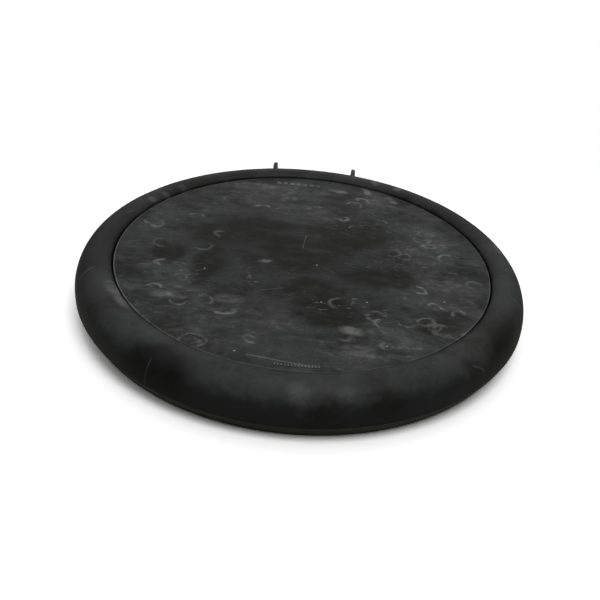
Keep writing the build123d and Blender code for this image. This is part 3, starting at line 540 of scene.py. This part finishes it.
def fibre_board():
    """Green lacquered board with faint copper tracks under the lacquer."""
    g = Graph("terminal_board")
    weave = g.add("ShaderNodeTexWave", bands_direction="X")
    g.link(g.mm, weave.inputs["Vector"])
    weave.inputs["Scale"].default_value = 0.9
    tracks = g.step(g.noise(3.5, g.turned(0, 4.0, 1.0), detail=0, seed=111), 0.52, 0.55)
    color = g.mix(tracks, (0.012, 0.07, 0.022), (0.03, 0.14, 0.05))
    g.bump(weave.outputs["Fac"], 0.1, 0.05)
    return g.finish(color, 0.35, 0.5)


def foam_material():
    """Black closed-cell foam."""
    g = Graph("closed_cell_foam")
    cells = g.add("ShaderNodeTexVoronoi", feature="F1")
    g.link(g.mm, cells.inputs["Vector"])
    cells.inputs["Scale"].default_value = 2.4
    g.bump(cells.outputs["Distance"], 0.8, 0.25)
    color = g.mix(g.step(cells.outputs["Distance"], 0.1, 0.7), (0.012, 0.012, 0.012), (0.04, 0.04, 0.04))
    return g.finish(color, 0.92, 0.1)


def floor_material():
    """White for the camera, dimmer for bounced light, so the black rubber keeps its dark sides."""
    g = Graph("pale_floor")
    seen = g.add("ShaderNodeLightPath").outputs["Is Camera Ray"]
    speckle = g.noise(900, detail=2, seed=17.0)
    pale = g.mix(speckle, (1.62, 1.62, 1.62), (1.68, 1.68, 1.68))
    material = g.finish(g.mix(seen, (0.34, 0.34, 0.32), pale), 0.9, 0.0)
    # Far from the object the floor runs into the white background
    white = g.add("ShaderNodeEmission")
    white.inputs["Strength"].default_value = 1.0
    blend = g.add("ShaderNodeMixShader")
    far = g.step(g.vector("LENGTH", g.join(g.x, g.y)), 220, 420)
    g.plug(blend.inputs["Fac"], g.math("MULTIPLY", far, seen))
    g.link(g.shader.outputs[0], blend.inputs[1])
    g.link(white.outputs[0], blend.inputs[2])
    g.link(blend.outputs[0], g.output.inputs["Surface"])
    return material


# ---------------------------------------------------------------- mesh helpers
def add_object(name, mesh, material, body):
    """A smooth-shaded piece that rides on a body."""
    obj = bpy.data.objects.new(name, mesh)
    bpy.context.scene.collection.objects.link(obj)
    mesh.materials.append(material)
    mesh.shade_smooth()
    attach(obj, body)
    return obj


def wobble(x, y, z, size, seed=0.0):
    """Smooth signed noise, the same each run."""
    return noise_lib.noise(Vector((x / size + seed, y / size - seed, z / size + 2 * seed)))


def revolved(bm, profile, segments, shift):
    """Revolves (r, z) points about Z. A point on the axis becomes one vertex.
    shift(x, y, z, r, index) returns the final place of each point."""
    rings = []
    for index, (r, z) in enumerate(profile):
        if r < 1e-7:
            rings.append([bm.verts.new(shift(0.0, 0.0, z, r, index))])
            continue
        ring = []
        for k in range(segments):
            a = 2 * math.pi * k / segments
            ring.append(bm.verts.new(shift(r * math.cos(a), r * math.sin(a), z, r, index)))
        rings.append(ring)
    return rings


def skin(bm, rings, closed):
    """Joins neighbouring rings with quads, or with a fan where a ring is one vertex."""
    pairs = list(zip(rings, rings[1:]))
    if closed:
        pairs.append((rings[-1], rings[0]))
    for a, b in pairs:
        count = max(len(a), len(b))
        for k in range(count):
            n = (k + 1) % count
            if len(a) == 1:
                bm.faces.new((a[0], b[n], b[k]))
            elif len(b) == 1:
                bm.faces.new((a[k], a[n], b[0]))
            else:
                bm.faces.new((a[k], a[n], b[n], b[k]))


def rounded_bar(bm, cx, cy, length, width, corner, turn):
    """A bar moulded on the disc's face, with rounded corners and a softly rounded top."""
    steps = 5
    # (inset, height): sunk foot, straight side, then two steps of the rounded top
    layers = (
        (0.0, -0.2 * MM), (0.0, RELIEF - 0.12 * MM), (0.05 * MM, RELIEF - 0.03 * MM), (0.14 * MM, RELIEF),
    )
    rings = []
    for inset, z in layers:
        ring = []
        r = max(corner - inset, 0.02 * MM)
        for quarter in range(4):
            sx = 1 if quarter in (0, 3) else -1
            sy = 1 if quarter in (0, 1) else -1
            for k in range(steps + 1):
                a = math.radians(90 * quarter + 90 * k / steps)
                px = sx * (length / 2 - corner) + r * math.cos(a)
                py = sy * (width / 2 - corner) + r * math.sin(a)
                ring.append(bm.verts.new((
                    cx + px * math.cos(turn) - py * math.sin(turn),
                    cy + px * math.sin(turn) + py * math.cos(turn),
                    PAD_TOP + z,
                )))
        rings.append(ring)
    skin(bm, rings, False)
    bm.faces.new(rings[-1])
    bm.faces.new(list(reversed(rings[0])))


def mesh_from(bm, name):
    """Turns the bmesh into a mesh whose faces look outwards, and frees it."""
    bmesh.ops.recalc_face_normals(bm, faces=bm.faces)
    mesh = bpy.data.meshes.new(name)
    bm.to_mesh(mesh)
    bm.free()
    return mesh


# ---------------------------------------------------------------- striking pad
def pad_profile():
    """(r, z) points from the middle of the face, round the edge, to the middle of the back."""
    points = [(0.0, PAD_TOP)]
    face_end = PAD_RADIUS - PAD_EDGE_ROUND
    rings = 82
    points += [(face_end * k / rings, PAD_TOP) for k in range(1, rings + 1)]
    for k in range(1, 6):
        a = math.radians(90 * k / 5)
        points.append((face_end + PAD_EDGE_ROUND * math.sin(a), PAD_TOP - PAD_EDGE_ROUND * (1 - math.cos(a))))
    low = PAD_LOW.z
    points += [(PAD_RADIUS, PAD_TOP + (low - PAD_TOP) * k / 4) for k in (1, 2, 3)]
    points += [(PAD_RADIUS, low + 0.2 * MM), (PAD_RADIUS - 0.2 * MM, low)]
    points += [(PAD_RADIUS * k / 6, low) for k in (5, 4, 3, 2, 1)]
    points.append((0.0, low))
    return points


def build_pad():
    """The disc, with shallow dents from playing, the row of plain bars and the fine ticks."""
    rng = random.Random(7)
    dents = []
    for _ in range(150):
        r = PAD_RADIUS * 0.93 * math.sqrt(rng.random())
        a = rng.uniform(0, 2 * math.pi)
        size, depth = rng.uniform(2.0, 5.0) * MM, rng.uniform(0.02, 0.07) * MM
        dents.append((r * math.cos(a), r * math.sin(a), size, depth))

    def shift(x, y, z, r, index):
        if z < PAD_TOP - 0.6 * MM or r > PAD_RADIUS - 1 * MM:
            return (x, y, z)
        sag = 0.09 * MM * wobble(x, y, 0, 26 * MM, 3.0) + 0.04 * MM * wobble(x, y, 0, 9 * MM, 8.0)
        for dx, dy, size, depth in dents:
            d2 = ((x - dx) ** 2 + (y - dy) ** 2) / size ** 2
            if d2 < 4:
                sag -= depth * math.exp(-1.6 * d2)
        return (x, y, z + min(sag, 0.0) - 0.02 * MM)

    bm = bmesh.new()
    skin(bm, revolved(bm, pad_profile(), 480, shift), False)
    # The row of plain bars at the far edge, and the fine ticks at the near edge
    for k in range(BADGE_BARS):
        x = BADGE_X + (k - (BADGE_BARS - 1) / 2) * BADGE_PITCH
        rounded_bar(bm, x, BADGE_Y, BADGE_LENGTH, BADGE_WIDTH, BADGE_CORNER, 0)
    for k in range(TICKS):
        a = math.radians(TICK_MIDDLE_ANGLE + TICK_PITCH_ANGLE * (k - (TICKS - 1) / 2))
        x, y = TICK_RADIUS * math.cos(a), TICK_RADIUS * math.sin(a)
        rounded_bar(bm, x, y, TICK_LENGTH, TICK_WIDTH, TICK_CORNER, a)
    name = "striking_pad_face"
    pad = add_object(name, mesh_from(bm, name), striking_rubber(), "head")
    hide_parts("striking_pad")
    return pad


# ---------------------------------------------------------------- rim
def curve_points(p0, p1, t0, t1, count):
    """A cubic between two points with end directions, as (r, z) points after the first."""
    span = math.dist(p0, p1)
    out = []
    for k in range(1, count + 1):
        t = k / count
        h0, h1 = 2 * t ** 3 - 3 * t ** 2 + 1, -2 * t ** 3 + 3 * t ** 2
        d0, d1 = t ** 3 - 2 * t ** 2 + t, t ** 3 - t ** 2
        out.append(tuple(
            h0 * p0[i] + h1 * p1[i] + span * (d0 * t0[i] + d1 * t1[i]) for i in (0, 1)
        ))
    return out


def rim_profile():
    """(r, z) points: up the slot, over the crest, down the outside, and back under."""
    inner = PAD_RADIUS + SLOT_WIDTH
    mouth = MOUTH_HEIGHT
    under = RIM_UNDER
    points = [(inner, under), (inner, under + 0.3 * MM), (inner, (under + mouth) / 2), (inner, mouth)]
    points += curve_points((inner, mouth), (CREST_RADIUS, CREST_HEIGHT), (0.48, 0.88), (1, 0), 14)
    arc_steps = 30
    for k in range(1, arc_steps + 1):
        a = math.radians(90 - 90 * k / arc_steps)
        r = CREST_RADIUS + (RIM_RADIUS - CREST_RADIUS) * math.cos(a)
        points.append((r, RIM_WIDEST_HEIGHT + (CREST_HEIGHT - RIM_WIDEST_HEIGHT) * math.sin(a)))
    low = RIM_LOW.z
    foot_inner = RIM_RADIUS - 4.0 * MM
    points += [(RIM_RADIUS - 0.12 * MM, low + 0.08 * MM), (RIM_RADIUS - 0.35 * MM, low)]
    points += [(RIM_RADIUS - 2.4 * MM, low), (foot_inner, low)]
    points += [(foot_inner, 9.4 * MM), (foot_inner, 11.5 * MM)]
    points += [(CREST_RADIUS + 4 * MM, under), (CREST_RADIUS - 0.3 * MM, under)]
    return points


def build_rim():
    """The rubber ring, never proud of its CAD shape, with the unevenness of a moulding."""
    def shift(x, y, z, r, index):
        if index < 4 or z < RIM_LOW.z + 0.2 * MM or r < PAD_RADIUS + 1.1 * MM:
            return (x, y, z)
        swell = 0.16 * MM * wobble(x, y, z, 34 * MM, 5.0) + 0.07 * MM * wobble(x, y, z, 11 * MM, 9.0)
        swell = min(swell, 0.10 * MM) - 0.10 * MM
        outward = Vector((x, y, 0)).normalized()
        lift = min(max((z - 8 * MM) / (CREST_HEIGHT - 8 * MM), 0.0), 1.0)
        side = outward * (1 - lift) + Vector((0, 0, 1)) * lift
        return Vector((x, y, z)) + side * swell

    bm = bmesh.new()
    skin(bm, revolved(bm, rim_profile(), 540, shift), True)
    name = "rim_moulding"
    rim = add_object(name, mesh_from(bm, name), rim_material(), "case")
    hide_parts("rim_rubber")
    return rim


def build_cushion():
    """The foam ring under the head plate: its sides bulge a little between its two glued faces."""
    low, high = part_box("cushion_ring")
    reaches = [math.hypot(v.co.x, v.co.y) for v in nodes["cushion_ring"].data.vertices]
    middle, half = (max(reaches) + min(reaches)) / 2, (max(reaches) - min(reaches)) / 2
    height = high[2] - low[2]
    profile = []
    corners = 28
    for k in range(corners):
        a = 2 * math.pi * k / corners
        across = math.copysign(abs(math.cos(a)) ** 0.45, math.cos(a))
        up = math.copysign(abs(math.sin(a)) ** 0.30, math.sin(a))
        profile.append((middle + half * across, (high[2] + low[2]) / 2 + height / 2 * up))

    def shift(x, y, z, r, index):
        outward = Vector((x, y, 0)).normalized()
        return Vector((x, y, z)) - outward * 0.12 * MM * (1 + wobble(x, y, z, 6 * MM, 3.0))

    bm = bmesh.new()
    skin(bm, revolved(bm, profile, 180, shift), True)
    name = "foam_cushion_ring"
    ring = add_object(name, mesh_from(bm, name), foam_material(), "case")
    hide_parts("cushion_ring")
    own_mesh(ring)
    return ring


# ---------------------------------------------------------------- build
build_pad()
build_rim()
build_cushion()

slot_materials = {
    "case_plastic": moulded_plastic("case_plastic_grain", (0.044, 0.043, 0.029), 0.50),
    "frame_plastic": moulded_plastic("frame_plastic_grain", (0.012, 0.012, 0.012), 0.5),
    "knob_plastic": moulded_plastic("knob_plastic_grain", (0.014, 0.014, 0.0145), 0.38, 0.6),
    "jack_plastic": moulded_plastic("jack_plastic_gloss", (0.010, 0.010, 0.010), 0.28, 0.8),
    "slider_plastic": moulded_plastic(
        "slider_plastic_grain", (0.42, 0.42, 0.40), 0.4, 0.6, (0.3, 0.29, 0.25)
    ),
    "connector_plastic": moulded_plastic("connector_nylon", (0.62, 0.59, 0.50), 0.4, 0.6, (0.5, 0.45, 0.35)),
    "film": moulded_plastic("printed_film", (0.35, 0.36, 0.36), 0.25, 1.2, (0.5, 0.5, 0.5), 0.5),
    "wire": moulded_plastic("wire_jacket", (0.30, 0.02, 0.015), 0.35, 0.9, (0.4, 0.05, 0.04), 0.5),
    "ceramic": moulded_plastic("piezo_ceramic_white", (0.72, 0.70, 0.62), 0.35, 0.5, (0.6, 0.57, 0.5), 0.5),
    "pad_rubber": moulded_plastic("pad_rubber_plain", (0.024, 0.024, 0.023), 0.7),
    "rim_rubber": moulded_plastic("rim_rubber_plain", (0.02, 0.02, 0.02), 0.7),
    "plate_steel": machined_metal("zinc_plated_steel", (0.52, 0.53, 0.55), 0.32, (0.3, 14.0)),
    "screw_steel": machined_metal("black_plated_screw", (0.16, 0.16, 0.165), 0.34, (0.2, 2.0)),
    "zinc": machined_metal("die_cast_zinc", (0.46, 0.46, 0.47), 0.42, (0.6, 1.0)),
    "jack_metal": machined_metal("nickel_plate", (0.68, 0.67, 0.64), 0.20, (0.15, 4.0)),
    "contact_metal": machined_metal("spring_strip", (0.70, 0.68, 0.60), 0.25, (0.2, 10.0)),
    "brass": machined_metal("brass_disc", (0.78, 0.57, 0.25), 0.28, (0.3, 6.0)),
    "foam": foam_material(),
    "board": fibre_board(),
}
for name, node in nodes.items():
    for index, material in enumerate(node.data.materials):
        node.data.materials[index] = slot_materials[material.name]


# ---------------------------------------------------------------- floor, light and camera
def floor_height(y):
    """The table plane that touches the front base edge and the housing's underside."""
    return TABLE_POINT.z - (y - TABLE_POINT.y) * TABLE_NORMAL.y / TABLE_NORMAL.z


def build_floor():
    """A wide flat table that the pad rests on."""
    bm = bmesh.new()
    reach = 3.0
    corners = [bm.verts.new((x, y, floor_height(y))) for x, y in
               ((-reach, -reach), (reach, -reach), (reach, reach), (-reach, reach))]
    bm.faces.new(corners)
    mesh = mesh_from(bm, "floor")
    floor = bpy.data.objects.new("floor", mesh)
    bpy.context.scene.collection.objects.link(floor)
    mesh.materials.append(floor_material())


def build_world():
    """White behind the scene; for light, a bright ceiling and back wall with a dark front."""
    world = bpy.data.worlds.new("studio")
    bpy.context.scene.world = world
    world.use_nodes = True
    tree = world.node_tree
    tree.nodes.clear()

    def add(kind, **settings):
        node = tree.nodes.new(kind)
        for key, value in settings.items():
            setattr(node, key, value)
        return node

    def ramp(source, low, high, top):
        node = add("ShaderNodeMapRange", interpolation_type="SMOOTHSTEP")
        tree.links.new(source, node.inputs["Value"])
        for target, value in zip(node.inputs[1:5], (low, high, 0.0, top)):
            target.default_value = value
        return node.outputs["Result"]

    def join(operation, a, b):
        node = add("ShaderNodeMath", operation=operation)
        for target, value in zip(node.inputs, (a, b)):
            if isinstance(value, bpy.types.NodeSocket):
                tree.links.new(value, target)
            else:
                target.default_value = value
        return node.outputs[0]

    split = add("ShaderNodeSeparateXYZ")
    tree.links.new(add("ShaderNodeTexCoord").outputs["Generated"], split.inputs[0])
    ceiling = ramp(split.outputs["Z"], 0.30, 0.95, CEILING)
    wall = ramp(split.outputs["Y"], 0.10, 0.85, BACK_WALL)
    back = join("MULTIPLY", wall, ramp(split.outputs["Z"], -0.05, 0.30, 1.0))
    strength = join("ADD", join("ADD", ceiling, back), AMBIENT)
    lit = add("ShaderNodeBackground")
    tree.links.new(strength, lit.inputs["Strength"])
    lit.inputs["Color"].default_value = (1, 1, 1, 1)
    white = add("ShaderNodeBackground")
    white.inputs["Color"].default_value = (1, 1, 1, 1)
    pick = add("ShaderNodeMixShader")
    tree.links.new(add("ShaderNodeLightPath").outputs["Is Camera Ray"], pick.inputs["Fac"])
    tree.links.new(lit.outputs[0], pick.inputs[1])
    tree.links.new(white.outputs[0], pick.inputs[2])
    tree.links.new(pick.outputs[0], add("ShaderNodeOutputWorld").inputs["Surface"])


def build_key_light():
    """A soft disc lamp overhead, a little to the front and right."""
    data = bpy.data.lights.new("key", "AREA")
    data.shape = "DISK"
    data.size = 0.55
    data.energy = 3.2
    light = bpy.data.objects.new("key", data)
    bpy.context.scene.collection.objects.link(light)
    light.location = KEY_PLACE
    light.rotation_mode = "QUATERNION"
    light.rotation_quaternion = (-KEY_PLACE).to_track_quat("-Z", "Y")
    light.visible_camera = False


def build_camera():
    """A close camera above the front edge, rolled a little."""
    azimuth, elevation, roll = (math.radians(v) for v in (-1.3, 33.78, 5.9))
    aim, distance = Vector((7.5, -40.8, 18.4)) * MM, 262.8 * MM
    back = Vector((math.sin(azimuth) * math.cos(elevation), -math.cos(azimuth) * math.cos(elevation),
                   math.sin(elevation)))
    flat_right = Vector((math.cos(azimuth), math.sin(azimuth), 0))
    flat_up = back.cross(flat_right)
    right = flat_right * math.cos(roll) + flat_up * math.sin(roll)
    up = flat_up * math.cos(roll) - flat_right * math.sin(roll)
    data = bpy.data.cameras.new("camera")
    data.lens = 36.22
    data.sensor_width = 36
    data.shift_x, data.shift_y = -0.0298, -0.0018
    data.clip_start, data.clip_end = 0.01, 50
    camera = bpy.data.objects.new("camera", data)
    bpy.context.scene.collection.objects.link(camera)
    place = aim + back * distance
    camera.matrix_world = Matrix((
        (right.x, up.x, back.x, place.x),
        (right.y, up.y, back.y, place.y),
        (right.z, up.z, back.z, place.z),
        (0, 0, 0, 1),
    ))
    bpy.context.scene.camera = camera


build_floor()
build_world()
build_key_light()
build_camera()
bpy.context.scene.view_settings.view_transform = "Standard"
bpy.context.scene.view_settings.look = "None"
bpy.context.scene.view_settings.exposure = 0.0
